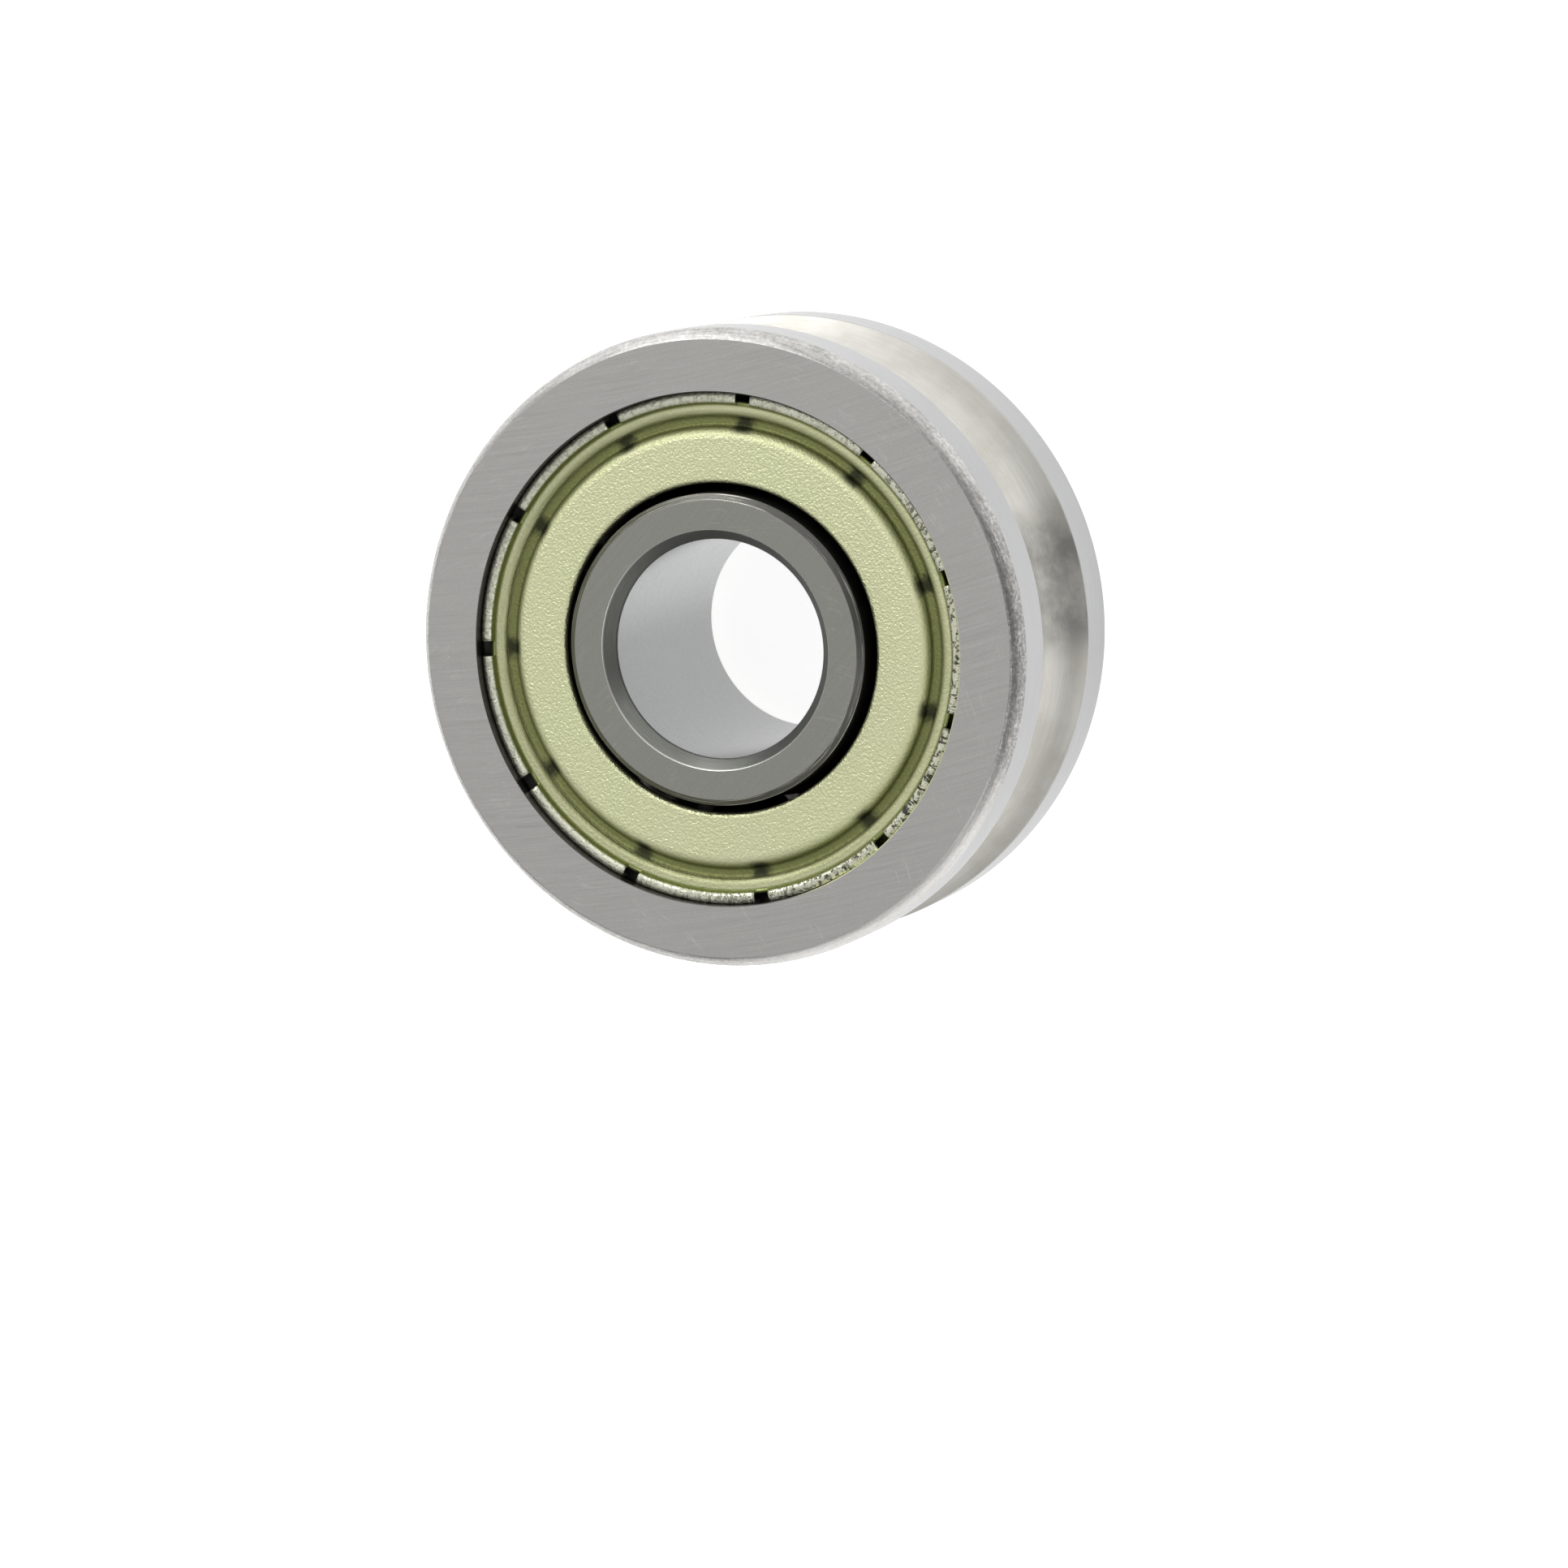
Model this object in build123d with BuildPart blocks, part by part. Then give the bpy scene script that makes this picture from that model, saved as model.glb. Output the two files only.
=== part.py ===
"""U-groove track roller: a two-row angular contact ball bearing whose thick outer ring has a
round groove turned into it, so that it runs along a straight round rail rod.

Millimetres. +Z is the axis of the roller, and z = 0 is the end face that it stands on.
Profiles are drawn in a section plane, where x is the radius and y the height above the
middle of the roller. The upper and lower halves are mirror images, apart from the balls:
the lower row stands half a step round from the upper one.
"""

from build123d import *
import os
from math import acos, cos, degrees, floor, pi, radians, sin

os.makedirs("parts", exist_ok=True)

# Main sizes of the roller: the radii stack up from the bore to the rim, 17.5 mm out
bore_r = 6.0
inner_wall = 2.0185
ball_d = 4.763
outer_wall = 2.7685
groove_depth = 1.95
width = 15.9

# Groove for the rail rod
rod_r = 5.0
rod_clearance = 0.1
groove_lip_round = 0.15

# Corners of the two rings
corner_radial = 0.6
corner_axial = 1.0
corner_arc_r = 1.6
bore_chamfer_radial = 0.6
bore_chamfer_axial = 0.8
shoulder_chamfer = 0.35

# Balls and raceways
ball_web = 1.1
row_spacing = 5.5
contact_angle = 25.0
race_conformity = 0.52
ball_clearance = 0.04
inner_shoulder_drop = 1.85
inner_middle_drop = 2.0
outer_middle_rise = 1.7
outer_land_rise = 2.0

# Cages
cage_wall = 1.6
pocket_clearance = 0.12
prong_reach = 1.0
prong_slot_width = 0.4
prong_slot_depth = 0.9
cage_end_gap = 0.5
cage_edge_round = 0.25

# Seats of the shields in the outer ring
seat_width = 1.65
seat_depth = 1.5
seat_lead = 0.5
mouth_depth = 0.62
undercut = 0.15

# Shields, pressed from sheet: depths below the end face are those of the middle of the sheet
sheet = 0.2
shield_gap = 0.5
lip_length = 0.25
lip_bend = 0.15
panel_depth = 0.85
panel_bend = 0.6
trough_depth = 1.45
trough_width = 0.6
trough_wall_run = 0.2
trough_bend = 0.22
ledge_depth = 1.06
ledge_rise_run = 0.16
ledge_width = 0.56
ledge_bend = 0.22
crease_bend = 0.12
rim_width = 0.53
rim_wall_run = 0.08
rim_inner_bend = 0.2
rim_rise = 0.07
rim_bend = 0.26
rim_gap = 0.07

# Notches that let the rim of a shield spring into its seat
notch_count = 11
notch_width = 0.85
notch_depth = 0.9
notch_wall_gap = 0.16
notch_phase = 8.25

# Sizes that follow from the ones above
half_width = width / 2
ball_r = ball_d / 2
pitch_r = bore_r + inner_wall + ball_r
groove_floor_r = pitch_r + ball_r + outer_wall
outer_r = groove_floor_r + groove_depth
row_height = row_spacing / 2
race_r = race_conformity * ball_d
race_shift = race_r - ball_r - ball_clearance
race_shift_radial = race_shift * cos(radians(contact_angle))
race_shift_axial = race_shift * sin(radians(contact_angle))
ball_count = floor(2 * pi * pitch_r / (ball_d + ball_web))
ball_step = 360 / ball_count

inner_shoulder_r = pitch_r - inner_shoulder_drop
inner_middle_r = pitch_r - inner_middle_drop
outer_middle_r = pitch_r + outer_middle_rise
outer_land_r = pitch_r + outer_land_rise
recess_r = outer_land_r + seat_width

groove_r = rod_r + rod_clearance
groove_centre_r = groove_floor_r + groove_r

section = Plane(origin=(0, 0, half_width), x_dir=(1, 0, 0), z_dir=(0, -1, 0))


def arc_angle(centre_r, arc_r, at_r):
    """Angle from the radius through an arc's centre to where the arc crosses another radius."""
    return degrees(acos(abs(at_r - centre_r) / arc_r))


def ball_places(side):
    """Centres of the balls in the upper row (side 1) or the lower row (side -1)."""
    turn = 0 if side > 0 else ball_step / 2
    angles = [radians(turn + number * ball_step) for number in range(ball_count)]
    height = half_width + side * row_height
    return [(pitch_r * cos(angle), pitch_r * sin(angle), height) for angle in angles]


# Outer ring: one turned and ground piece. Each row bears on it from the middle of the roller,
# so its shoulder stands there, and its ends are opened out to take the shields.
outer_race_r = pitch_r - race_shift_radial
outer_race_height = row_height + race_shift_axial
groove_angle = arc_angle(groove_centre_r, groove_r, outer_r)
land_angle = arc_angle(outer_race_r, race_r, outer_land_r)
middle_angle = arc_angle(outer_race_r, race_r, outer_middle_r)
mouth_height = half_width - mouth_depth
seat_height = half_width - seat_depth

with BuildPart() as outer_ring:
    with BuildSketch(section):
        with BuildLine():
            groove = CenterArc((groove_centre_r, 0), groove_r, 180, -groove_angle)
            race = CenterArc(
                (outer_race_r, outer_race_height), race_r, land_angle, -land_angle - middle_angle
            )
            land = Line(groove @ 1, (outer_r, half_width - corner_axial))
            corner = RadiusArc(land @ 1, (outer_r - corner_radial, half_width), -corner_arc_r)
            Polyline(
                corner @ 1,
                (recess_r, half_width),
                (recess_r, mouth_height),
                (recess_r + undercut, mouth_height - undercut),
                (recess_r + undercut, seat_height),
                (outer_land_r + seat_lead, seat_height),
                (outer_land_r, seat_height - seat_lead),
                race @ 0,
            )
            Line(race @ 1, (outer_middle_r, 0))
            mirror(about=Plane.XZ)
        make_face()
    revolve(axis=Axis.Z)
    corners = outer_ring.edges().filter_by(GeomType.CIRCLE).group_by(SortBy.RADIUS)[-1].group_by(Axis.Z)
    fillet(corners[1] + corners[-2], groove_lip_round)
outer_ring.part.label = "outer_ring"
export_step(outer_ring.part, "parts/outer_ring.step")


# Inner ring: one piece with both raceways. It bears on each row from its own end face,
# so its shoulders stand at the two ends.
inner_race_r = pitch_r + race_shift_radial
inner_race_height = row_height - race_shift_axial
shoulder_angle = arc_angle(inner_race_r, race_r, inner_shoulder_r)
waist_angle = arc_angle(inner_race_r, race_r, inner_middle_r)

with BuildPart() as inner_ring:
    with BuildSketch(section):
        with BuildLine():
            race = CenterArc(
                (inner_race_r, inner_race_height),
                race_r,
                180 - shoulder_angle,
                shoulder_angle + waist_angle,
            )
            Polyline(
                (bore_r, 0),
                (bore_r, half_width - bore_chamfer_axial),
                (bore_r + bore_chamfer_radial, half_width),
                (inner_shoulder_r, half_width),
                race @ 0,
            )
            Line(race @ 1, (inner_middle_r, 0))
            mirror(about=Plane.XZ)
        make_face()
    revolve(axis=Axis.Z)
    corners = inner_ring.edges().filter_by(GeomType.CIRCLE).group_by(SortBy.RADIUS)[-1].group_by(Axis.Z)
    chamfer(corners[0] + corners[-1], shoulder_chamfer)
inner_ring.part.label = "inner_ring"
export_step(inner_ring.part, "parts/inner_ring.step")


# Shields: a thin pressed ring on each side, fixed in the outer ring. From the inner edge outwards
# it has a turned-down lip, a flat panel, a trough, a ledge, and an arched rim whose outer leg springs
# into the undercut and stands on the seat. Notches part the rim into segments.
rim_out = recess_r + undercut - rim_gap - sheet / 2
rim_in = rim_out - rim_width
ledge_out = rim_in - rim_wall_run
ledge_in = ledge_out - ledge_width
trough_out = ledge_in - ledge_rise_run
trough_in = trough_out - trough_width
panel_out = trough_in - trough_wall_run
panel_in = inner_shoulder_r + shield_gap + sheet / 2
rim_depth = mouth_depth - rim_rise + sheet / 2


with BuildPart() as notch:
    with BuildSketch(section):
        with BuildLine():
            Polyline(
                (rim_in - sheet, half_width),
                (rim_in - sheet, half_width - notch_depth),
                (rim_in + notch_wall_gap, half_width - notch_depth),
                (rim_in + notch_wall_gap, seat_height),
                (recess_r + undercut, seat_height),
                (recess_r + undercut, half_width),
                close=True,
            )
        make_face()
    extrude(amount=notch_width / 2, both=True)


def make_shield(side):
    with BuildPart() as shield:
        with BuildSketch(section):
            with BuildLine():
                FilletPolyline(
                    (panel_in, half_width - panel_depth - lip_length),
                    (panel_in, half_width - panel_depth),
                    (panel_out, half_width - panel_depth),
                    (trough_in, half_width - trough_depth),
                    (trough_out, half_width - trough_depth),
                    (ledge_in, half_width - ledge_depth),
                    (ledge_out, half_width - ledge_depth),
                    (rim_in, half_width - rim_depth),
                    (rim_out, half_width - rim_depth),
                    (rim_out, seat_height),
                    radius=[
                        lip_bend, panel_bend, trough_bend, trough_bend, ledge_bend,
                        crease_bend, rim_inner_bend, rim_bend,
                    ],
                )
            trace(line_width=sheet)
        revolve(axis=Axis.Z)
        with PolarLocations(0, notch_count, start_angle=notch_phase):
            add(notch.part, mode=Mode.SUBTRACT)
        if side < 0:
            mirror(about=Plane.XY.offset(half_width), mode=Mode.REPLACE)
    return shield.part


# Cages: a moulded crown on each row. Its closed end faces the shield, and its prongs reach past
# the middle of the balls from the side, so that each ball snaps into its pocket.
cage_in = pitch_r - cage_wall / 2
cage_out = pitch_r + cage_wall / 2
cage_end_height = half_width - panel_depth - sheet / 2 - cage_end_gap
prong_height = row_height - prong_reach


def make_cage(side):
    web_turn = ball_step / 2 if side > 0 else 0
    with BuildPart() as cage:
        with BuildSketch(section):
            with BuildLine():
                Polyline(
                    (cage_in, side * prong_height),
                    (cage_out, side * prong_height),
                    (cage_out, side * cage_end_height),
                    (cage_in, side * cage_end_height),
                    close=True,
                )
            make_face()
        revolve(axis=Axis.Z)
        fillet(cage.edges().filter_by(GeomType.CIRCLE), cage_edge_round)
        with Locations(ball_places(side)):
            Sphere(ball_r + pocket_clearance, mode=Mode.SUBTRACT)
        with Locations((0, 0, half_width + side * prong_height)):
            with PolarLocations(pitch_r, ball_count, start_angle=web_turn):
                Box(2 * cage_wall, prong_slot_width, 2 * prong_slot_depth, mode=Mode.SUBTRACT)
    return cage.part


def make_ball(place):
    with BuildPart() as ball:
        with Locations(place):
            Sphere(ball_r)
    return ball.part


for row, side in (("upper", 1), ("lower", -1)):
    pieces = {f"{row}_shield": make_shield(side), f"{row}_cage": make_cage(side)}
    for number, place in enumerate(ball_places(side), start=1):
        pieces[f"{row}_ball_{number:02d}"] = make_ball(place)
    for name, piece in pieces.items():
        piece.label = name
        export_step(piece, f"parts/{name}.step")
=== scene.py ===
from math import acos, atan2, cos, hypot, pi, radians, sin, tan
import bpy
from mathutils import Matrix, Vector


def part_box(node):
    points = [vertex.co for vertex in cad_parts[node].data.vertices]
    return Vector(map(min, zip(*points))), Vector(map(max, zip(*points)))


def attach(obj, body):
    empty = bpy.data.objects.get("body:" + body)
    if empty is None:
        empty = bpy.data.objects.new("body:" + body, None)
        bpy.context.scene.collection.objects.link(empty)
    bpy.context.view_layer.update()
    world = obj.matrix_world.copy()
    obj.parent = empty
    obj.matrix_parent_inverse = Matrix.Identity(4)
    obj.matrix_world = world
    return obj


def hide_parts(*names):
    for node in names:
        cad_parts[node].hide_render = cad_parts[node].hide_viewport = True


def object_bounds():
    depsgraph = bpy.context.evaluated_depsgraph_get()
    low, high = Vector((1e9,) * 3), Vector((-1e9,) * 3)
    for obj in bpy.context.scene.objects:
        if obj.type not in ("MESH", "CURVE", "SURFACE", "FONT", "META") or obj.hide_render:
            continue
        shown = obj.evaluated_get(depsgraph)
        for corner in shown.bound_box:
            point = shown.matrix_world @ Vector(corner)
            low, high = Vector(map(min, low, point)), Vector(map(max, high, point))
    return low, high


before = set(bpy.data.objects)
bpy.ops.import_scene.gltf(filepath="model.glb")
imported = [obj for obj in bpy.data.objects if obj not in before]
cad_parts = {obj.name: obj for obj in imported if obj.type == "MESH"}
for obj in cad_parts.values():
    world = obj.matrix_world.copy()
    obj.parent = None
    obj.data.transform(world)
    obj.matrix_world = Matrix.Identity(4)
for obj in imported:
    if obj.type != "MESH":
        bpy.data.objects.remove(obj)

from types import SimpleNamespace

import bmesh
import bpy
from bpy.props import FloatProperty, FloatVectorProperty, IntProperty, PointerProperty
from bpy.types import Operator, Panel, PropertyGroup

bl_info = {
    "name": "Grooved Track Roller",
    "version": (1, 0, 0),
    "blender": (4, 5, 0),
    "location": "View3D > Sidebar > Roller",
    "description": "Dresses a grooved track roller: turned rings, pressed shields, balls, cages and a studio",
    "category": "Add Mesh",
}

MM = 0.001
CAD_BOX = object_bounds()
RING_LOW, RING_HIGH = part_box("outer_ring")
HUB_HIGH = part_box("inner_ring")[1]
MIDDLE = (RING_LOW[2] + RING_HIGH[2]) / 2

# A point this far along each straight side keeps it straight beside a bend
HOLD = 0.02 * MM
# Points closer than this are merged
SMALLEST_GAP = 0.0002 * MM
# Steps in the arcs of an outline
GROOVE_STEPS, RACE_STEPS, CORNER_STEPS, BEND_STEPS = 20, 16, 8, 6

# Grease and painted shade between the rows: its foot as a share of its height, and its rounding as a share of its
# depth
GREASE_SHADE_FOOT, GREASE_SHADE_ROUNDING = 1.2, 0.3

# Section of a shield, along the middle of its sheet from the lip to the rim
SHIELD = SimpleNamespace(
    lip_length=0.25 * MM,  # Length of the lip below the panel
    lip_bend=0.15 * MM,  # Bend between lip and panel
    panel_depth=0.85 * MM,  # Depth of the panel below the end face
    panel_bend=0.6 * MM,  # Bend at the panel's outer edge
    trough_wall_run=0.2 * MM,  # Width of the slope from the panel into the trough
    trough_depth=1.45 * MM,  # Depth of the trough below the end face
    trough_width=0.6 * MM,  # Width of the trough's floor
    trough_inner_bend=0.27 * MM,  # Bend at the inner edge of the trough's floor
    trough_outer_bend=0.34 * MM,  # Bend at the outer edge of the trough's floor
    ledge_rise_run=0.16 * MM,  # Width of the slope from the trough up to the ledge
    ledge_depth=1.06 * MM,  # Depth of the ledge below the end face
    ledge_width=0.56 * MM,  # Width of the ledge
    ledge_bend=0.28 * MM,  # Bend at the ledge's inner edge
    crease_bend=0.12 * MM,  # Bend in the crease between ledge and rim
    rim_wall_run=0.08 * MM,  # Width of the slope from the ledge up to the rim
    rim_depth=0.65 * MM,  # Depth of the crimped rim below the end face
    rim_inner_bend=0.2 * MM,  # Bend at the rim's inner edge
    rim_outer_bend=0.26 * MM,  # Bend at the rim's outer edge
    notch_depth=0.9 * MM,  # Depth of a notch below the end face, on the rim's inner leg
    notch_wall_gap=0.16 * MM,  # Distance from the rim's inner leg outwards where a notch has no floor
)

# A turned piece has up to five finishes, one to a zone of its outline. Notches cut the last zone
ZONES = 5
CUT_ZONE = 4
# How far in past the bend that starts it the finish of the trough, the ledge and the rim's wall reaches
TROUGH_REACH, LEDGE_REACH, WALL_REACH = 0.25 * MM, 0.08 * MM, 0.04 * MM

# Directions of the grinding lines, and how much further the scratches across them are turned
FACE_GRINDING, HUB_GRINDING, SCRATCH_TURN = radians(96), radians(60), 0.6

# Sides of the roller, as angles round its axis: where painted light or painted shade falls, where the rim is dented
# most and where the seat takes the zinc colour
SHADED_CORNER, LIT_CORNER = radians(-108.6), radians(-160)
LIT_LAND, SHADED_GROOVE = radians(161.4), radians(-96.5)
LIT_BORE, PRESSED_RIM = radians(15), radians(-126.9)

# Fixed colours, among them the painted shadow beside the notches and the near black of balls and grease kept as
# painted shade, and the shares of the zinc's channels for the painted shade in the crease under the rim
NOTCH_SHADOW = (0.03, 0.033, 0.02, 1.0)
SCUFF = (0.07, 0.07, 0.055, 1.0)
BALL_DARK, BALL_LIGHT = (0.035, 0.032, 0.027, 1.0), (0.06, 0.055, 0.05, 1.0)
GREASE_SHADE_DARK, GREASE_SHADE_LIGHT = (0.012, 0.010, 0.008, 1.0), (0.03, 0.026, 0.018, 1.0)
CREASE_SHADE = (0.33, 0.35, 0.21)

# Studio: place and size of each light, the glow of the floor, and the dark patch of the room
LIGHTS = (
    ("key", (0.45, 0.10, 0.42), 0.35),
    ("fill", (-0.30, -0.35, 0.40), 0.40),
    ("edge", (0.50, 0.05, 0.09), 0.30),
)
FLOOR_GLOW = 0.8
DARK_PATCH = (-0.38, -0.87, 0.32)
DARK_PATCH_EDGE, DARK_PATCH_CORE, DARK_PATCH_LIGHT = 0.66, 0.98, 0.2
DIM_SIDE_LIGHT = 0.55


# Sizes and colours that a user would change

def millimetres(default, description):
    return FloatProperty(description=description, default=default * MM, unit="LENGTH")


def colour(default, description):
    return FloatVectorProperty(description=description, default=default, subtype="COLOR", min=0, max=1)


def power(default, description):
    return FloatProperty(description=description, default=default, unit="POWER")


def count(default, least, description):
    return IntProperty(description=description, default=default, min=least)


class RollerRings(PropertyGroup):
    rim_radius: millimetres(RING_HIGH[0] / MM, "Radius of the lands beside the groove")
    half_width: millimetres(
        (RING_HIGH[2] - RING_LOW[2]) / 2 / MM, "Height of the end faces above the middle of the roller")
    groove_depth: millimetres(1.95, "Depth of the groove below the lands")
    groove_radius: millimetres(5.1, "Radius of the groove's round section")
    groove_lip_round: millimetres(0.15, "Rounding where the groove meets a land")
    corner_radial: millimetres(0.6, "Width of the outer corners' chamfer on the end face")
    corner_axial: millimetres(1.0, "Height of the outer corners' chamfer on the land")
    corner_arc: millimetres(1.6, "Radius that the outer corners' chamfer bulges with")
    edge_break: millimetres(0.05, "Small rounding of every other corner")
    mouth_radius: millimetres(14.05, "Radius of the mouth that takes a shield")
    mouth_depth: millimetres(0.62, "Depth of the mouth, down to its undercut")
    undercut: millimetres(0.15, "Depth of the undercut behind the mouth")
    seat_depth: millimetres(1.5, "Depth of the seat under a shield")
    seat_lead: millimetres(0.5, "Slope from the seat down to the land inside")
    land_radius: millimetres(12.4, "Radius of the outer ring's bore between seat and raceway")
    middle_radius: millimetres(12.1, "Radius of the outer ring's bore between the raceways")
    bore_radius: millimetres(6.0, "Radius of the bore")
    bore_lead_radial: millimetres(0.6, "Width of the bore's lead-in on the end face")
    bore_lead_axial: millimetres(0.8, "Depth of the bore's lead-in")
    bore_lead_round: millimetres(0.3, "Rounding where the lead-in meets the bore")
    shoulder_radius: millimetres(HUB_HIGH[0] / MM, "Radius of the inner ring's shoulders")
    shoulder_chamfer: millimetres(0.35, "Chamfer of the inner ring's outer corners")
    waist_radius: millimetres(8.4, "Radius of the inner ring between the raceways")
    grease_shade_height: millimetres(0.9, "Height of the grease left on the inner ring's waist")
    grease_shade_depth: millimetres(0.6, "How far the grease stands off the waist")
    steps: count(288, 24, "Flat steps in one turn of a ring")


class RollerShields(PropertyGroup):
    sheet: millimetres(0.2, "Thickness of the sheet. All other sizes are those of its middle")
    inner_radius: millimetres(9.15, "Radius of the turned-down lip")
    rim_radius: millimetres(14.03, "Radius of the rim's outer leg")
    rim_width: millimetres(0.53, "Width of the crimped rim, between its two legs")
    segments: count(11, 3, "Segments that the notches leave of the rim")
    steps_per_segment: count(46, 12, "Steps from one notch to the next")
    notch_steps: count(5, 1, "Steps taken out for a notch")
    notch_phase: FloatProperty(description="Angle of the first notch", default=radians(8.25), subtype="ANGLE")


class RollerBalls(PropertyGroup):
    ball_radius: millimetres(2.3815, "Radius of a ball")
    pitch_radius: millimetres(10.4, "Radius of the circle through the balls' centres")
    row_height: millimetres(2.75, "Height of a row above the middle")
    contact_angle: FloatProperty(
        description="Tilt of the line through a ball's contacts", default=radians(25), subtype="ANGLE")
    race_shift: millimetres(0.0553, "Distance from a ball's centre to its raceway's")
    race_radius: millimetres(2.4768, "Radius of a raceway's section")
    balls: count(11, 3, "Balls in one row")


class RollerColours(PropertyGroup):
    ground_steel: colour((0.47, 0.462, 0.445), "Steel of the end faces")
    land_steel: colour((0.38, 0.381, 0.385), "Steel of the lands")
    groove_steel: colour((0.55, 0.54, 0.505), "Steel of the groove")
    bore_steel: colour((0.45, 0.455, 0.455), "Honed steel of the bore")
    zinc: colour((0.64, 0.67, 0.41), "Yellow-green zinc plating of the shields")
    polymer: colour((0.03, 0.028, 0.025), "Moulded polymer of the cages")


class RollerStudio(PropertyGroup):
    floor_size: FloatProperty(description="Side of the square floor", default=3.0, unit="LENGTH")
    camera_place: FloatVectorProperty(
        description="Where the camera stands", subtype="XYZ", default=(0.0, -122.404 * MM, 315.687 * MM))
    camera_turn: FloatVectorProperty(
        description="How the camera is turned", subtype="EULER",
        default=(radians(-8.201), radians(20.483), radians(-108.581)))
    lens: FloatProperty(description="Focal length in millimetres", default=136.863)
    key_watts: power(1.3, "Power of the key light")
    edge_watts: power(0.6, "Power of the low edge light")
    fill_watts: power(0.7, "Power of the fill light")


# Outlines: closed or open lines in the section plane, as radius and height above the middle

def arc_points(centre, radius, start, end, steps):
    """Points on a round stretch of an outline, from one angle to another."""
    angles = [start + (end - start) * step / steps for step in range(steps + 1)]
    return [(centre[0] + radius * cos(angle), centre[1] + radius * sin(angle), 0.0) for angle in angles]


def toward(a, b, distance):
    """Point at a distance from a on the line to b."""
    length = hypot(b[0] - a[0], b[1] - a[1])
    return a[0] + (b[0] - a[0]) * distance / length, a[1] + (b[1] - a[1]) * distance / length


def corner_points(before, corner, after):
    """Points of one rounded corner, with a point held close on each straight side."""
    rounding = corner[2]
    if not rounding:
        return [(corner[0], corner[1])]
    angle_in = atan2(corner[1] - before[1], corner[0] - before[0])
    angle_out = atan2(after[1] - corner[1], after[0] - corner[0])
    turn = (angle_out - angle_in + pi) % (2 * pi) - pi
    cut = rounding * tan(abs(turn) / 2)
    start, end = toward(corner, before, cut), toward(corner, after, cut)
    side = 1 if turn > 0 else -1
    centre = (start[0] - side * rounding * sin(angle_in), start[1] + side * rounding * cos(angle_in))
    first = angle_in - side * pi / 2
    arc = [
        (centre[0] + rounding * cos(first + turn * step / BEND_STEPS),
         centre[1] + rounding * sin(first + turn * step / BEND_STEPS))
        for step in range(BEND_STEPS + 1)
    ]
    held = []
    if hypot(before[0] - start[0], before[1] - start[1]) > 3 * HOLD:
        held.append(toward(start, before, HOLD))
    held += arc
    if hypot(after[0] - end[0], after[1] - end[1]) > 3 * HOLD:
        held.append(toward(end, after, HOLD))
    return held


def softened(corners, closed):
    """An outline with each corner rounded by its third value."""
    outline = []
    for number, corner in enumerate(corners):
        if not closed and number in (0, len(corners) - 1):
            outline.append(corner[:2])
            continue
        outline += corner_points(corners[number - 1], corner, corners[(number + 1) % len(corners)])
    return outline


def both_halves(upper):
    """Outline of a whole ring from the corners of its upper half."""
    lower = [(radius, -height, rounding) for radius, height, rounding in reversed(upper)]
    return upper + lower


def bulged(start, end, radius):
    """Points of a shallow arc that bulges outwards between two points."""
    middle = ((start[0] + end[0]) / 2, (start[1] + end[1]) / 2)
    half = hypot(end[0] - start[0], end[1] - start[1]) / 2
    reach = (radius ** 2 - half ** 2) ** 0.5
    across = ((end[1] - start[1]) / (2 * half), (start[0] - end[0]) / (2 * half))
    centre = (middle[0] - reach * across[0], middle[1] - reach * across[1])
    first = atan2(start[1] - centre[1], start[0] - centre[0])
    last = atan2(end[1] - centre[1], end[0] - centre[0])
    before, after = (start[0], start[1] - HOLD, 0.0), (end[0] - HOLD, end[1], 0.0)
    return [before] + arc_points(centre, radius, first, last, CORNER_STEPS) + [after]


def race_angle(centre_r, radius, at_r):
    """Angle from the radius through a round section's centre to where it crosses another radius."""
    return acos(abs(at_r - centre_r) / radius)


def raceway(balls, side, upper_r, lower_r):
    """Points of a raceway from its upper radius to its lower one: side 1 in the outer ring, -1 in the inner."""
    centre = (
        balls.pitch_radius - side * balls.race_shift * cos(balls.contact_angle),
        balls.row_height + side * balls.race_shift * sin(balls.contact_angle))
    upper, lower = (race_angle(centre[0], balls.race_radius, radius) for radius in (upper_r, lower_r))
    middle = 0 if side > 0 else pi
    return arc_points(centre, balls.race_radius, middle + side * upper, middle - side * lower, RACE_STEPS)


def groove_section(rings):
    """Radius of the centre of the groove's section, and the angle from its floor to a lip."""
    centre = rings.rim_radius - rings.groove_depth + rings.groove_radius
    return centre, race_angle(centre, rings.groove_radius, rings.rim_radius)


def outer_ring_outline(rings, balls):
    """Corners of the outer ring from the groove's floor, over the end face, to the middle of its bore."""
    groove_centre, groove_angle = groove_section(rings)
    groove = arc_points((groove_centre, 0), rings.groove_radius, pi, pi - groove_angle, GROOVE_STEPS)
    rim, top, fine = rings.rim_radius, rings.half_width, rings.edge_break
    mouth, seat = top - rings.mouth_depth, top - rings.seat_depth
    back = rings.mouth_radius + rings.undercut
    return groove[1:-1] + [
        (*groove[-1][:2], rings.groove_lip_round),
        *bulged((rim, top - rings.corner_axial), (rim - rings.corner_radial, top), rings.corner_arc),
        (rings.mouth_radius, top, fine),
        (rings.mouth_radius, mouth, fine),
        (back, mouth - rings.undercut, 0.0),
        (back, seat, 0.0),
        (rings.land_radius + rings.seat_lead, seat, fine),
        (rings.land_radius, seat - rings.seat_lead, fine),
    ] + raceway(balls, 1, rings.land_radius, rings.middle_radius)


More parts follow.
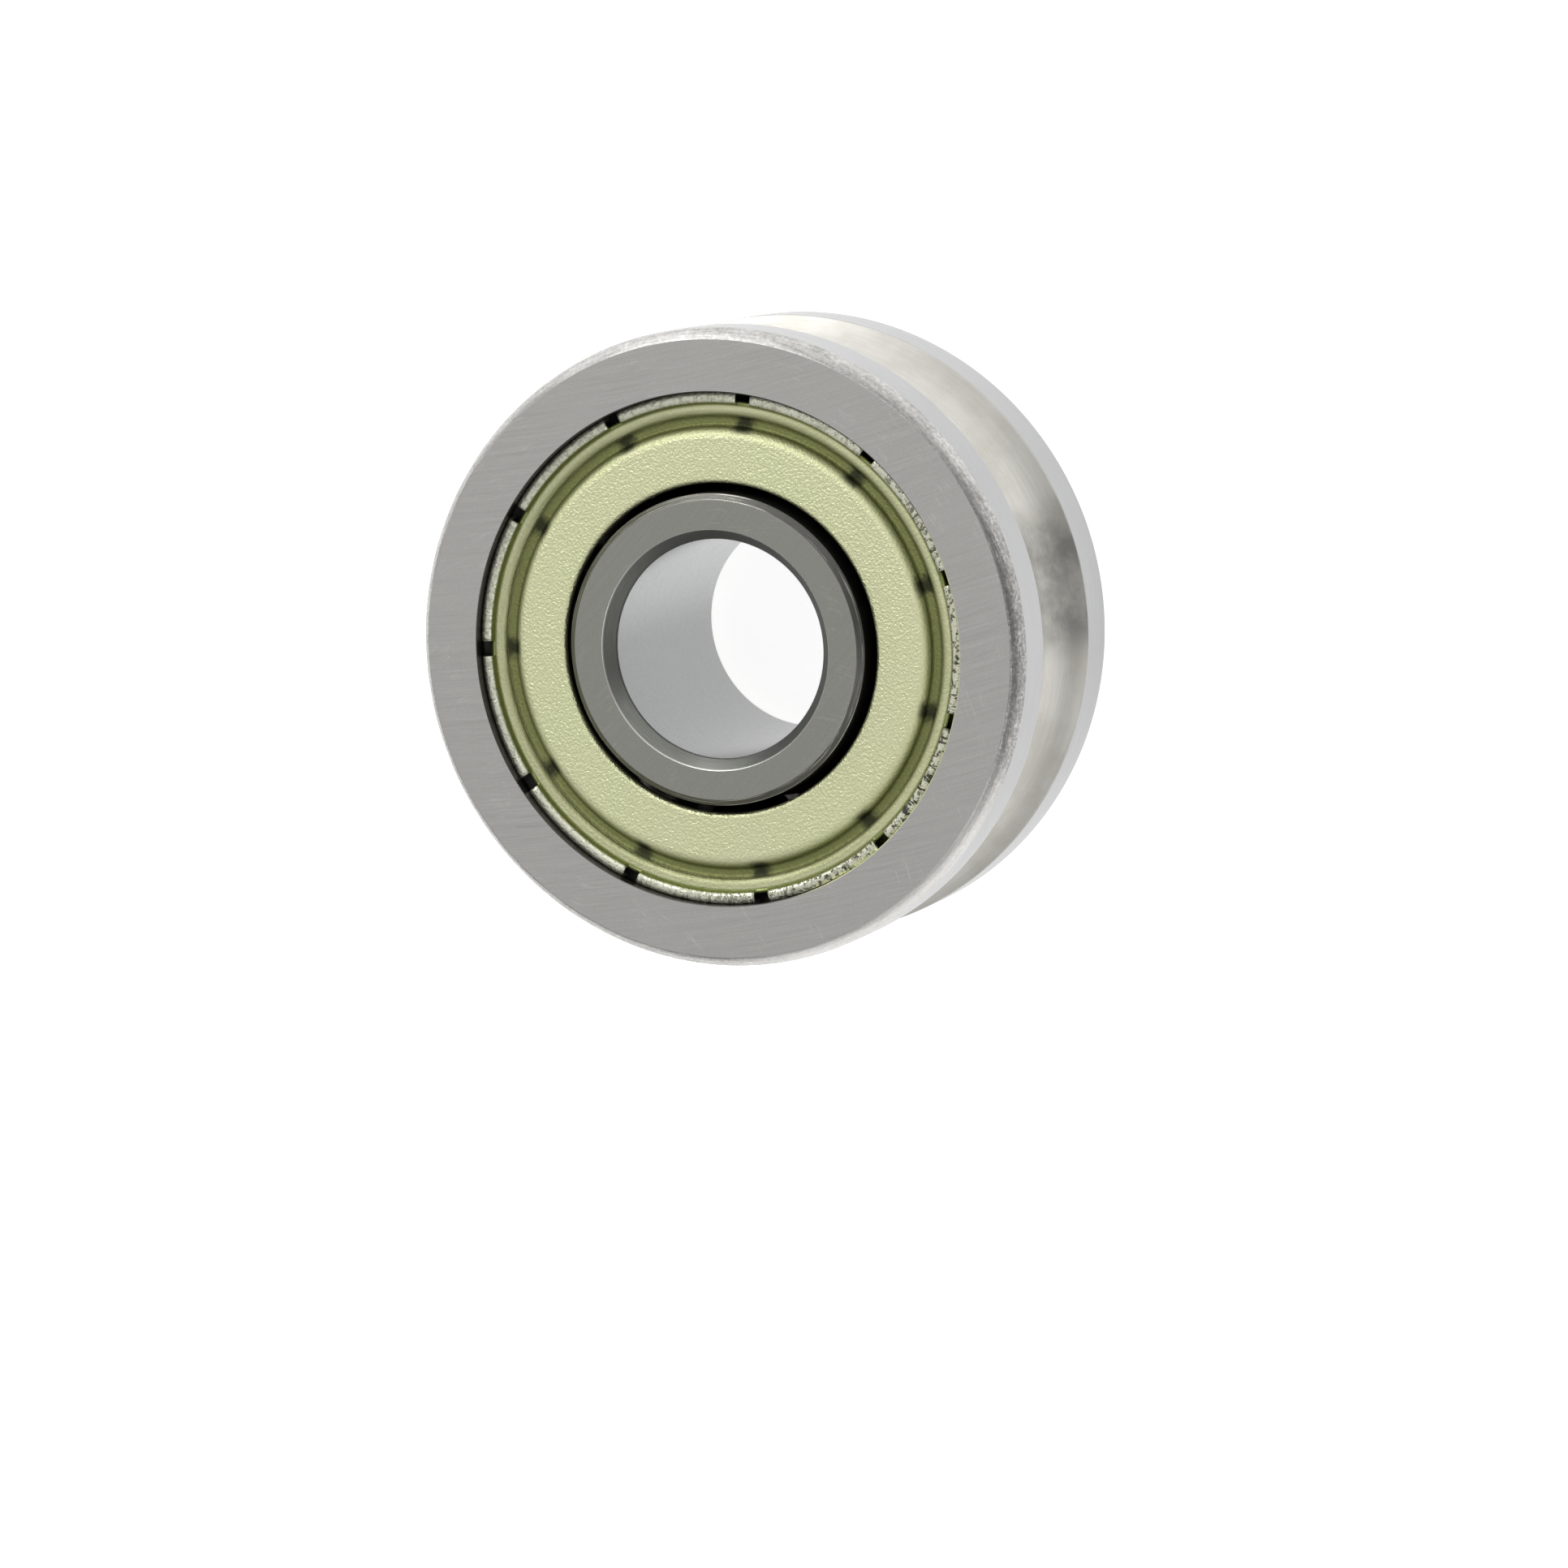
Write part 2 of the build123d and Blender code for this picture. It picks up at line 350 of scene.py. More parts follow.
def outer_ring_zone(rings, radius, height):
    """Finish of the outer ring at a place of its outline: 0 face, 1 corner, 2 land, 3 groove, 4 inside."""
    level = abs(height)
    groove_edge = rings.groove_radius * sin(groove_section(rings)[1])
    if radius > rings.rim_radius - rings.corner_radial and level > rings.half_width - rings.corner_axial:
        return 1
    if level > rings.half_width - 2 * rings.edge_break and radius > rings.mouth_radius + rings.edge_break:
        return 0
    if radius > rings.rim_radius - 2 * HOLD and level > groove_edge:
        return 2
    if radius > rings.mouth_radius + rings.undercut + HOLD:
        return 3
    return 4


def inner_ring_outline(rings, balls):
    """Corners of the inner ring from the middle of its bore, over the end face, to its waist."""
    top, fine = rings.half_width, rings.edge_break
    bore, shoulder, chamfer = rings.bore_radius, rings.shoulder_radius, rings.shoulder_chamfer
    return [
        (bore, top - rings.bore_lead_axial, rings.bore_lead_round),
        (bore + rings.bore_lead_radial, top, fine),
        (shoulder - chamfer, top, fine),
        (shoulder, top - chamfer, fine),
    ] + raceway(balls, -1, rings.shoulder_radius, rings.waist_radius)


def inner_ring_zone(rings, radius, height):
    """Finish of the inner ring: 0 end face, 1 lead-in, 2 bore, 3 inside and 4 outer corner with scratches painted as
    highlights.
    """
    level = abs(height)
    lead_edge = rings.bore_radius + rings.bore_lead_radial
    if level > rings.half_width - HOLD and radius < rings.shoulder_radius - rings.shoulder_chamfer:
        return 0 if radius > lead_edge else 1
    if radius < rings.bore_radius + HOLD:
        return 2
    if level > rings.half_width - rings.bore_lead_axial and radius < lead_edge:
        return 1
    return 4 if level > rings.half_width - rings.shoulder_chamfer else 3


def grease_shade_outline(rings):
    """Corners of the upper half of the grease between the rows, a dark band that stands in for shade, which lies on
    the inner ring's waist.
    """
    outer, half = rings.waist_radius + rings.grease_shade_depth, rings.grease_shade_height / 2
    return [(rings.waist_radius, half * GREASE_SHADE_FOOT, 0.0), (outer, half, GREASE_SHADE_ROUNDING * rings.grease_shade_depth)]


def shield_radii(shields):
    """Radii where the middle of a shield's sheet bends, between the panel and the rim."""
    rim_in = shields.rim_radius - shields.rim_width
    ledge_out = rim_in - SHIELD.rim_wall_run
    ledge_in = ledge_out - SHIELD.ledge_width
    trough_out = ledge_in - SHIELD.ledge_rise_run
    trough_in = trough_out - SHIELD.trough_width
    return SimpleNamespace(
        panel_out=trough_in - SHIELD.trough_wall_run, trough_in=trough_in, trough_out=trough_out,
        ledge_in=ledge_in, ledge_out=ledge_out, rim_in=rim_in)


def shield_outline(rings, shields):
    """Corners of the middle line of the shield's sheet, from the lip to the rim, with each bend."""
    top, at = rings.half_width, shield_radii(shields)
    panel, rim = top - SHIELD.panel_depth, top - SHIELD.rim_depth
    trough, ledge = top - SHIELD.trough_depth, top - SHIELD.ledge_depth
    return [
        (shields.inner_radius, panel - SHIELD.lip_length, 0.0),
        (shields.inner_radius, panel, SHIELD.lip_bend),
        (at.panel_out, panel, SHIELD.panel_bend),
        (at.trough_in, trough, SHIELD.trough_inner_bend),
        (at.trough_out, trough, SHIELD.trough_outer_bend),
        (at.ledge_in, ledge, SHIELD.ledge_bend),
        (at.ledge_out, ledge, SHIELD.crease_bend),
        (at.rim_in, rim, SHIELD.rim_inner_bend),
        (shields.rim_radius, rim, SHIELD.rim_outer_bend),
        (shields.rim_radius, top - rings.seat_depth, 0.0),
    ]


def shield_zone(rings, shields, radius, height):
    """Part of the shield: 0 panel, 1 trough, 2 ledge, 3 wall of the rim, 4 what the notches cut."""
    at = shield_radii(shields)
    above_notch = height > rings.half_width - SHIELD.notch_depth
    if radius > at.rim_in - shields.sheet and above_notch or radius > at.rim_in + SHIELD.notch_wall_gap:
        return CUT_ZONE
    if radius > at.ledge_out - WALL_REACH:
        return 3
    if radius > at.ledge_in - LEDGE_REACH:
        return 2
    return 1 if radius > at.panel_out - TROUGH_REACH else 0


# Geometry Nodes

class Tree:
    """A node tree being built, with short ways to add and join its nodes."""

    def __init__(self, tree):
        self.tree = tree

    def add(self, kind, inputs=None, **settings):
        node = self.tree.nodes.new(kind)
        for name, value in settings.items():
            setattr(node, name, value)
        for name, value in (inputs or {}).items():
            self.put(node.inputs[name], value)
        return node

    def put(self, socket, value):
        if isinstance(value, bpy.types.NodeSocket):
            self.tree.links.new(value, socket)
        elif value is not None:
            socket.default_value = value

    def math(self, operation, a, b=None):
        return self.add("ShaderNodeMath", {0: a, 1: b}, operation=operation).outputs[0]

    def compare(self, operation, a, b):
        node = self.add("FunctionNodeCompare", {"A": a, "B": b}, data_type="FLOAT", operation=operation)
        return node.outputs["Result"]


def new_tree(name, inputs):
    """A Geometry Nodes tree with a geometry input and output and the named inputs."""
    tree = bpy.data.node_groups.new(name, "GeometryNodeTree")
    tree.interface.new_socket("Geometry", in_out="INPUT", socket_type="NodeSocketGeometry")
    tree.interface.new_socket("Geometry", in_out="OUTPUT", socket_type="NodeSocketGeometry")
    for socket_name, kind, value in inputs:
        socket = tree.interface.new_socket(socket_name, in_out="INPUT", socket_type=kind)
        if value is not None:
            socket.default_value = value
    return tree


def turned_tree():
    """Sweeps an outline round Z. The outline is a row of points with radius, height and zone."""
    tree = new_tree("Turned Piece", [
        ("Steps", "NodeSocketInt", 288), ("Closing Rows", "NodeSocketInt", 1), ("Start Angle", "NodeSocketFloat", 0.0),
        ("Cut Zone", "NodeSocketInt", -1), ("Cut Pitch", "NodeSocketInt", 46), ("Cut Steps", "NodeSocketInt", 5),
    ] + [(f"Finish {number}", "NodeSocketMaterial", None) for number in range(ZONES)])
    t = Tree(tree)
    given = t.add("NodeGroupInput").outputs
    count = t.add("GeometryNodeAttributeDomainSize", {"Geometry": given["Geometry"]}, component="MESH")
    points = count.outputs["Point Count"]
    rows = t.math("ADD", points, given["Closing Rows"])
    columns = t.math("ADD", given["Steps"], 1)
    grid = t.add("GeometryNodeMeshGrid", {"Size X": 1.0, "Size Y": 1.0, "Vertices X": rows, "Vertices Y": columns})

    index = t.add("GeometryNodeInputIndex").outputs[0]
    row = t.math("FLOOR", t.math("DIVIDE", t.math("ADD", index, 0.5), columns))
    column = t.math("SUBTRACT", index, t.math("MULTIPLY", row, columns))
    wrapped = t.math("MODULO", row, points)
    place = t.add("GeometryNodeInputPosition").outputs[0]
    sampled = t.add(
        "GeometryNodeSampleIndex", {"Geometry": given["Geometry"], "Index": wrapped}, data_type="FLOAT_VECTOR")
    t.put(sampled.inputs["Value"], place)
    outline = t.add("ShaderNodeSeparateXYZ", {0: sampled.outputs[0]}).outputs
    turn = t.math("DIVIDE", t.math("MULTIPLY", column, 2 * pi), given["Steps"])
    angle = t.math("ADD", turn, given["Start Angle"])
    swept = t.add("ShaderNodeCombineXYZ", {
        0: t.math("MULTIPLY", outline["X"], t.math("COSINE", angle)),
        1: t.math("MULTIPLY", outline["X"], t.math("SINE", angle)),
        2: outline["Z"],
    })
    shaped = t.add("GeometryNodeSetPosition", {"Geometry": grid.outputs[0], "Position": swept.outputs[0]})

    face_row = t.math("FLOOR", t.math("DIVIDE", t.math("ADD", index, 0.5), given["Steps"]))
    face_column = t.math("SUBTRACT", index, t.math("MULTIPLY", face_row, given["Steps"]))
    zone_name = t.add("GeometryNodeInputNamedAttribute", {"Name": "zone"}, data_type="INT")
    zone = t.add("GeometryNodeSampleIndex", {"Geometry": given["Geometry"], "Index": face_row}, data_type="INT")
    t.put(zone.inputs["Value"], zone_name.outputs[0])
    kept = t.add("GeometryNodeStoreNamedAttribute", {
        "Geometry": shaped.outputs[0], "Name": "zone", "Value": zone.outputs[0]}, data_type="INT", domain="FACE")
    place_in_pitch = t.math("MODULO", face_column, given["Cut Pitch"])
    in_cut = t.compare("LESS_THAN", place_in_pitch, given["Cut Steps"])
    in_zone = t.compare("EQUAL", zone.outputs[0], given["Cut Zone"])
    cut = t.add("FunctionNodeBooleanMath", {0: in_cut, 1: in_zone}, operation="AND")
    notched = t.add("GeometryNodeDeleteGeometry", {
        "Geometry": kept.outputs[0], "Selection": cut.outputs[0]}, domain="FACE")
    merged = t.add("GeometryNodeMergeByDistance", {"Geometry": notched.outputs[0], "Distance": SMALLEST_GAP})
    shape = t.add("GeometryNodeRealizeInstances", {"Geometry": merged.outputs[0]}).outputs[0]
    for number in range(ZONES):
        here = t.compare("EQUAL", t.add(
            "GeometryNodeInputNamedAttribute", {"Name": "zone"}, data_type="INT").outputs[0], float(number))
        shape = t.add("GeometryNodeSetMaterial", {
            "Geometry": shape, "Selection": here, "Material": given[f"Finish {number}"]}).outputs[0]
    t.add("NodeGroupOutput", {"Geometry": shape})


def ball_tree():
    """One ball of a row, chosen by its number, on a circle of places."""
    tree = new_tree("Ball of a Row", [
        ("Balls", "NodeSocketInt", 11), ("Ball", "NodeSocketInt", 0), ("Ball Radius", "NodeSocketFloat", MM),
        ("Pitch Radius", "NodeSocketFloat", MM), ("Height", "NodeSocketFloat", 0.0),
        ("Start Angle", "NodeSocketFloat", 0.0), ("Finish", "NodeSocketMaterial", None),
    ])
    t = Tree(tree)
    given = t.add("NodeGroupInput").outputs
    circle = t.add("GeometryNodeMeshCircle", {"Vertices": given["Balls"], "Radius": given["Pitch Radius"]})
    turned = t.add("GeometryNodeTransform", {
        "Geometry": circle.outputs[0],
        "Translation": t.add("ShaderNodeCombineXYZ", {2: given["Height"]}).outputs[0],
        "Rotation": t.add("ShaderNodeCombineXYZ", {2: given["Start Angle"]}).outputs[0]})
    chosen = t.compare("EQUAL", t.add("GeometryNodeInputIndex").outputs[0], given["Ball"])
    sphere = t.add("GeometryNodeMeshIcoSphere", {"Radius": given["Ball Radius"], "Subdivisions": 5})
    placed = t.add("GeometryNodeInstanceOnPoints", {
        "Points": turned.outputs[0], "Selection": chosen, "Instance": sphere.outputs[0]})
    real = t.add("GeometryNodeRealizeInstances", {"Geometry": placed.outputs[0]})
    t.add("NodeGroupOutput", {"Geometry": t.add("GeometryNodeSetMaterial", {
        "Geometry": real.outputs[0], "Material": given["Finish"]}).outputs[0]})


def modified(base, tree, values, sheet=0.0):
    """A copy of a mesh shaped by a tree with the named values, and given the thickness of its sheet."""
    holder = bpy.data.objects.new("holder", base)
    bpy.context.scene.collection.objects.link(holder)
    modifier = holder.modifiers.new("Shape", "NODES")
    modifier.node_group = tree
    for socket in tree.interface.items_tree:
        if socket.in_out == "INPUT" and socket.name in values:
            modifier[socket.identifier] = values[socket.name]
    shaped = evaluated_mesh(holder)
    holder.modifiers.clear()
    bpy.data.objects.remove(holder)
    outward(shaped)
    if sheet:
        shaped = thickened(shaped, sheet)
    for face in shaped.polygons:
        face.use_smooth = True
    return shaped


def evaluated_mesh(obj):
    """The mesh of an object with its modifiers applied."""
    graph = bpy.context.evaluated_depsgraph_get()
    graph.update()
    return bpy.data.meshes.new_from_object(obj.evaluated_get(graph), depsgraph=graph)


def outward(mesh):
    """Merges what lies together and turns every face outwards."""
    work = bmesh.new()
    work.from_mesh(mesh)
    bmesh.ops.remove_doubles(work, verts=work.verts, dist=SMALLEST_GAP)
    bmesh.ops.recalc_face_normals(work, faces=work.faces)
    work.to_mesh(mesh)
    work.free()


def thickened(mesh, sheet):
    """A sheet of its real thickness about a bare surface."""
    holder = bpy.data.objects.new("sheet", mesh)
    bpy.context.scene.collection.objects.link(holder)
    wall = holder.modifiers.new("Wall", "SOLIDIFY")
    wall.thickness = sheet
    wall.offset = 0.0
    wall.use_rim = True
    result = evaluated_mesh(holder)
    holder.modifiers.clear()
    bpy.data.objects.remove(holder)
    outward(result)
    return result


def outline_mesh(name, outline, zone_of, closed):
    """A row of points for the turning tree, each with the zone of the stretch that it starts."""
    mesh = bpy.data.meshes.new(name)
    mesh.from_pydata([(radius, 0.0, MIDDLE + height) for radius, height in outline], [], [])
    zones = []
    for number, point in enumerate(outline):
        after = outline[(number + 1) % len(outline)] if closed or number + 1 < len(outline) else point
        zones.append(zone_of((point[0] + after[0]) / 2, (point[1] + after[1]) / 2))
    layer = mesh.attributes.new("zone", "INT", "POINT")
    layer.data.foreach_set("value", zones)
    return mesh


def piece(name, mesh, body, nodes):
    """Puts a finished mesh in the scene in place of its model's nodes."""
    obj = bpy.data.objects.new(name, mesh)
    bpy.context.scene.collection.objects.link(obj)
    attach(obj, body)
    if nodes:
        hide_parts(*nodes)


# Finishes

def new_group(name, inputs, outputs):
    """A shader group with float or vector inputs and outputs."""
    group = bpy.data.node_groups.new(name, "ShaderNodeTree")
    for socket_name, kind, value in inputs:
        socket = group.interface.new_socket(socket_name, in_out="INPUT", socket_type=kind)
        if value is not None:
            socket.default_value = value
    for socket_name, kind in outputs:
        group.interface.new_socket(socket_name, in_out="OUTPUT", socket_type=kind)
    return group


FLOAT, VECTOR = "NodeSocketFloat", "NodeSocketVector"


def round_position_group():
    """Millimetre radius and height, and the direction round the roller's axis."""
    group = new_group("Round Position", [], [
        ("Place", VECTOR), ("Radius", FLOAT), ("Height", FLOAT), ("Around X", FLOAT), ("Around Y", FLOAT)])
    t = Tree(group)
    place = t.add("ShaderNodeTexCoord").outputs["Object"]
    scaled = t.add("ShaderNodeVectorMath", {0: place, "Scale": 1 / MM}, operation="SCALE").outputs[0]
    x, y, z = t.add("ShaderNodeSeparateXYZ", {0: scaled}).outputs
    square = t.math("ADD", t.math("MULTIPLY", x, x), t.math("MULTIPLY", y, y))
    radius = t.math("SQRT", square)
    t.add("NodeGroupOutput", {
        "Place": scaled, "Radius": radius, "Height": z,
        "Around X": t.math("DIVIDE", x, radius), "Around Y": t.math("DIVIDE", y, radius)})


def turned_lines_group():
    """Fine lines that run round the axis, as a tool or stone leaves them."""
    group = new_group("Turned Lines", [
        ("Across", FLOAT, 0.0), ("Around X", FLOAT, 0.0), ("Around Y", FLOAT, 0.0),
        ("Fineness", FLOAT, 20.0), ("Run", FLOAT, 3.0)], [("Lines", FLOAT)])
    t = Tree(group)
    given = t.add("NodeGroupInput").outputs
    coordinate = t.add("ShaderNodeCombineXYZ", {
        0: t.math("MULTIPLY", given["Across"], given["Fineness"]),
        1: t.math("MULTIPLY", given["Around X"], given["Run"]),
        2: t.math("MULTIPLY", given["Around Y"], given["Run"])}).outputs[0]
    noise = t.add("ShaderNodeTexNoise", {
        "Vector": coordinate, "Scale": 1.0, "Detail": 3.0, "Roughness": 0.65}, noise_dimensions="3D")
    t.add("NodeGroupOutput", {"Lines": noise.outputs[0]})


def ground_lines_group():
    """Long, nearly straight grinding lines across a flat face, a little bowed."""
    group = new_group("Ground Lines", [
        ("Place", VECTOR, None), ("Turn", FLOAT, 0.0), ("Bow", FLOAT, 0.01),
        ("Fineness", FLOAT, 14.0), ("Run", FLOAT, 0.5)], [("Lines", FLOAT)])
    t = Tree(group)
    given = t.add("NodeGroupInput").outputs
    turned = t.add("ShaderNodeVectorRotate", {
        "Vector": given["Place"], "Angle": given["Turn"]}, rotation_type="Z_AXIS").outputs[0]
    x, y, z = t.add("ShaderNodeSeparateXYZ", {0: turned}).outputs
    bowed = t.math("ADD", y, t.math("MULTIPLY", t.math("MULTIPLY", x, x), given["Bow"]))
    coordinate = t.add("ShaderNodeCombineXYZ", {
        0: t.math("MULTIPLY", x, given["Run"]), 1: t.math("MULTIPLY", bowed, given["Fineness"]), 2: z}).outputs[0]
    noise = t.add("ShaderNodeTexNoise", {
        "Vector": coordinate, "Scale": 1.0, "Detail": 4.0, "Roughness": 0.6}, noise_dimensions="3D")
    t.add("NodeGroupOutput", {"Lines": noise.outputs[0]})


def speckle_group():
    """Uneven pits and grains of a tumbled or plated surface."""
    group = new_group("Speckle", [("Place", VECTOR, None), ("Scale", FLOAT, 4.0), ("Low", FLOAT, 0.45),
                                  ("High", FLOAT, 0.62)], [("Speckle", FLOAT)])
    t = Tree(group)
    given = t.add("NodeGroupInput").outputs
    noise = t.add("ShaderNodeTexNoise", {
        "Vector": given["Place"], "Scale": given["Scale"], "Detail": 5.0, "Roughness": 0.62})
    stepped = t.add("ShaderNodeMapRange", {
        "Value": noise.outputs[0], "From Min": given["Low"], "From Max": given["High"]}).outputs[0]
    t.add("NodeGroupOutput", {"Speckle": stepped})


class Finish(Tree):
    """A material being built round one Principled shader."""

    def __init__(self, name, metallic=1.0):
        self.material = bpy.data.materials.new(name)
        self.material.use_nodes = True
        super().__init__(self.material.node_tree)
        self.shader = self.tree.nodes["Principled BSDF"]
        self.shader.inputs["Metallic"].default_value = metallic
        self.round = self.group("Round Position")

    def group(self, name, inputs=None):
        node = self.add("ShaderNodeGroup", node_tree=bpy.data.node_groups[name])
        for socket, value in (inputs or {}).items():
            self.put(node.inputs[socket], value)
        return node.outputs

    def turned(self, across, fineness, run):
        return self.group("Turned Lines", {
            "Across": across, "Around X": self.round["Around X"], "Around Y": self.round["Around Y"],
            "Fineness": fineness, "Run": run})["Lines"]

    def ground(self, turn, fineness, run, bow=-0.004):
        return self.group("Ground Lines", {
            "Place": self.round["Place"], "Turn": turn, "Fineness": fineness, "Run": run, "Bow": bow})["Lines"]

    def speckle(self, scale, low, high):
        return self.group("Speckle", {
            "Place": self.round["Place"], "Scale": scale, "Low": low, "High": high})["Speckle"]

    def noise(self, scale, detail=3.0, roughness=0.5):
        return self.add("ShaderNodeTexNoise", {
            "Vector": self.round["Place"], "Scale": scale, "Detail": detail, "Roughness": roughness}).outputs[0]

    def mean(self, first, second):
        return self.math("ADD", self.math("MULTIPLY", first, 0.5), self.math("MULTIPLY", second, 0.5))

    def ranged(self, value, low, high, to_low=0.0, to_high=1.0, smooth=False):
        return self.add("ShaderNodeMapRange", {
            "Value": value, "From Min": low, "From Max": high, "To Min": to_low, "To Max": to_high},
            interpolation_type="SMOOTHSTEP" if smooth else "LINEAR").outputs[0]

    def side(self, angle, low, high, to_low=0.0, to_high=1.0, smooth=False):
        """A range of the cosine of the angle between a place and one side of the roller, 1 on that side."""
        facing = self.math(
            "ADD", self.math("MULTIPLY", self.round["Around X"], cos(angle)),
            self.math("MULTIPLY", self.round["Around Y"], sin(angle)))
        return self.ranged(facing, low, high, to_low, to_high, smooth)

    def blend(self, amount, first, second):
        node = self.add("ShaderNodeMix", {0: amount, 6: first, 7: second}, data_type="RGBA")
        return node.outputs[2]

    def shades(self, value, low, high, base, dark, light):
        """A colour that goes from one share of itself to another as a value goes from low to high."""
        return self.blend(self.ranged(value, low, high), rgba(base, dark), rgba(base, light))

    def done(self, base, grain, rough_low, rough_high, relief=None, depth=0.0, span=(0.3, 0.7)):
        """Sets the colour, a roughness that follows a grain, and a relief of a depth in millimetres."""
        self.put(self.shader.inputs["Base Color"], base)
        self.put(self.shader.inputs["Roughness"], self.ranged(grain, *span, rough_low, rough_high))
        if relief is not None:
            bump = self.add("ShaderNodeBump", {"Height": relief, "Distance": depth * MM, "Strength": 1.0})
            self.put(self.shader.inputs["Normal"], bump.outputs[0])
        return self.material


def rgba(base, *shares):
    """A colour with its channels times their shares, or all of them times the only share given."""
    shares = shares if len(shares) == 3 else 3 * (shares or (1.0,))
    return (*(channel * share for channel, share in zip(base, shares)), 1.0)


def scratches(f, turn, scale, share):
    """A few long thin scratches, 1 on a scratch and 0 beside it."""
    lines = f.ground(turn, scale, run=0.12, bow=0.04)
    thin = f.ranged(f.math("ABSOLUTE", f.math("SUBTRACT", lines, 0.5)), 0.0, 0.012, 1.0, 0.0)
    here = f.ranged(f.noise(0.5, detail=1.0), 1.0 - share, 1.05 - share)
    return f.math("MULTIPLY", thin, here)


def ground_face_finish(name, steel, turn, contrast=1.0):
    """End face: ground flat, with fine bowed lines, faint clouds and a few scratches."""
    f = Finish(name)
    tone = f.mean(f.ground(turn, fineness=5.0, run=0.10), f.ground(turn, fineness=17.0, run=0.5))
    lined = f.shades(tone, 0.34, 0.66, steel, 0.98 - 0.22 * contrast, 0.98 + 0.14 * contrast)
    clouds = f.ranged(f.noise(0.2, detail=4.0), 0.35, 0.65, 0.0, 0.6)
    clouded = f.blend(clouds, lined, rgba(steel, 0.96))
    grain = f.ranged(f.noise(8.0, detail=4.0, roughness=0.7), 0.35, 0.65, 0.0, 0.5)
    grained = f.blend(grain, clouded, rgba(steel, 0.82))
    marks = f.math("MULTIPLY", scratches(f, turn + SCRATCH_TURN, scale=1.6, share=0.45), 0.35)
    scratched = f.blend(marks, grained, rgba(steel, 1.5))
    return f.done(scratched, tone, 0.46, 0.34, tone, depth=0.007 * contrast)


def corner_finish(colours, rings):
    """Outer corners: turned before grinding, so they are rougher and flecked, with painted shade next to the face and
    in speckles on one side, and a painted highlight on another side.
    """
    f = Finish("turned_corner_steel")
    steel, face_edge = colours.ground_steel, (rings.rim_radius - rings.corner_radial) / MM
    grains = f.noise(5.0, detail=5.0, roughness=0.75)
    tone = f.mean(f.turned(f.round["Radius"], fineness=8.0, run=9.0), grains)
    flecked = f.shades(tone, 0.36, 0.66, steel, 0.5, 1.4)
    # Painted shade: darker next to the end face
    shade_near_face = f.ranged(f.round["Radius"], face_edge, face_edge + 0.3, 0.4, 0.0)
    shaded = f.blend(shade_near_face, flecked, rgba(steel, 0.42))
    patched = f.blend(f.ranged(f.noise(0.9), 0.4, 0.65, 0.0, 0.35), shaded, rgba(steel, 0.6))
    # Painted shade: darker speckles on one side
    speckled_side_shade = f.math(
        "MULTIPLY", f.side(SHADED_CORNER, 0.8, 1.0, 0.0, 0.9), f.ranged(grains, 0.4, 0.65, 1.0, 0.2))
    side_shaded = f.blend(speckled_side_shade, patched, rgba(steel, 0.36))
    # Painted highlight: paler on the side that faces the light
    highlighted = f.blend(f.side(LIT_CORNER, 0.8, 0.96, 0.0, 0.6, smooth=True), side_shaded, rgba(steel, 1.45))
    return f.done(highlighted, grains, 0.42, 0.26, tone, depth=0.04)


def land_finish(colours):
    """Lands of the rim: ground smooth, cooler in tone, with painted light making them paler towards one side."""
    f = Finish("land_steel")
    steel = colours.land_steel
    lines = f.turned(f.round["Height"], fineness=16.0, run=4.0)
    # Painted light: paler towards one side
    shaded = f.blend(f.side(LIT_LAND, -0.57, 0.57), rgba(steel, 0.84), rgba(steel, 1.15))
    lined = f.blend(f.ranged(lines, 0.35, 0.65, 0.12, 0.0), shaded, rgba(steel, 0.5))
    clouded = f.blend(f.ranged(f.noise(0.35), 0.3, 0.7, 0.0, 0.1), lined, rgba(steel, 0.7))
    return f.done(clouded, lines, 0.34, 0.27, lines, depth=0.0012)


def groove_finish(colours):
    """Groove: ground by a formed stone, with fine lines round it, soft clouds, and a patchy painted shadow and dark
    reflection on one side.
    """
    f = Finish("groove_steel")
    steel = colours.groove_steel
    lines = f.turned(f.round["Height"], fineness=9.0, run=3.0)
    tone = f.mean(lines, f.turned(f.round["Height"], fineness=26.0, run=9.0))
    lined = f.shades(tone, 0.3, 0.7, steel, 0.9, 1.08)
    clouds = f.ranged(f.noise(0.28, detail=4.0, roughness=0.6), 0.36, 0.7, 0.0, 0.6, smooth=True)
    clouded = f.blend(clouds, lined, rgba(steel, 0.76, 0.75, 0.71))
    patches = f.ranged(f.noise(0.4, detail=4.0, roughness=0.65), 0.35, 0.6, 0.45, 1.0)
    # Painted shadow and dark reflection, in patches, on one side
    painted_shadow = f.math("MULTIPLY", f.side(SHADED_GROOVE, 0.955, 0.994, smooth=True), patches)
    shadowed = f.blend(painted_shadow, clouded, rgba(steel, 0.46))
    return f.done(shadowed, tone, 0.52, 0.42, tone, depth=0.005)


def inside_finish(colours, rings):
    """Inside of a ring: turned and hardened, and coloured dark as painted shade; on one side the seat takes the zinc
    colour, so the notches there show pale.
    """
    f = Finish("oiled_steel")
    seat_edge = (rings.land_radius + rings.seat_lead) / MM
    lines = f.turned(f.round["Height"], fineness=16.0, run=3.0)
    # Painted shade: the steel inside the rings is kept dark
    shaded_inside = f.shades(lines, 0.3, 0.7, colours.ground_steel, 0.16, 0.26)
    # The seat takes the zinc colour on one side, so the notches there show pale
    on_seat = f.ranged(f.round["Radius"], seat_edge - 0.1, seat_edge)
    zinc_on_seat = f.math("MULTIPLY", f.side(PRESSED_RIM, 0.6, 0.75), on_seat)
    return f.done(f.blend(zinc_on_seat, shaded_inside, rgba(colours.zinc)), lines, 0.45, 0.32, lines, depth=0.002)


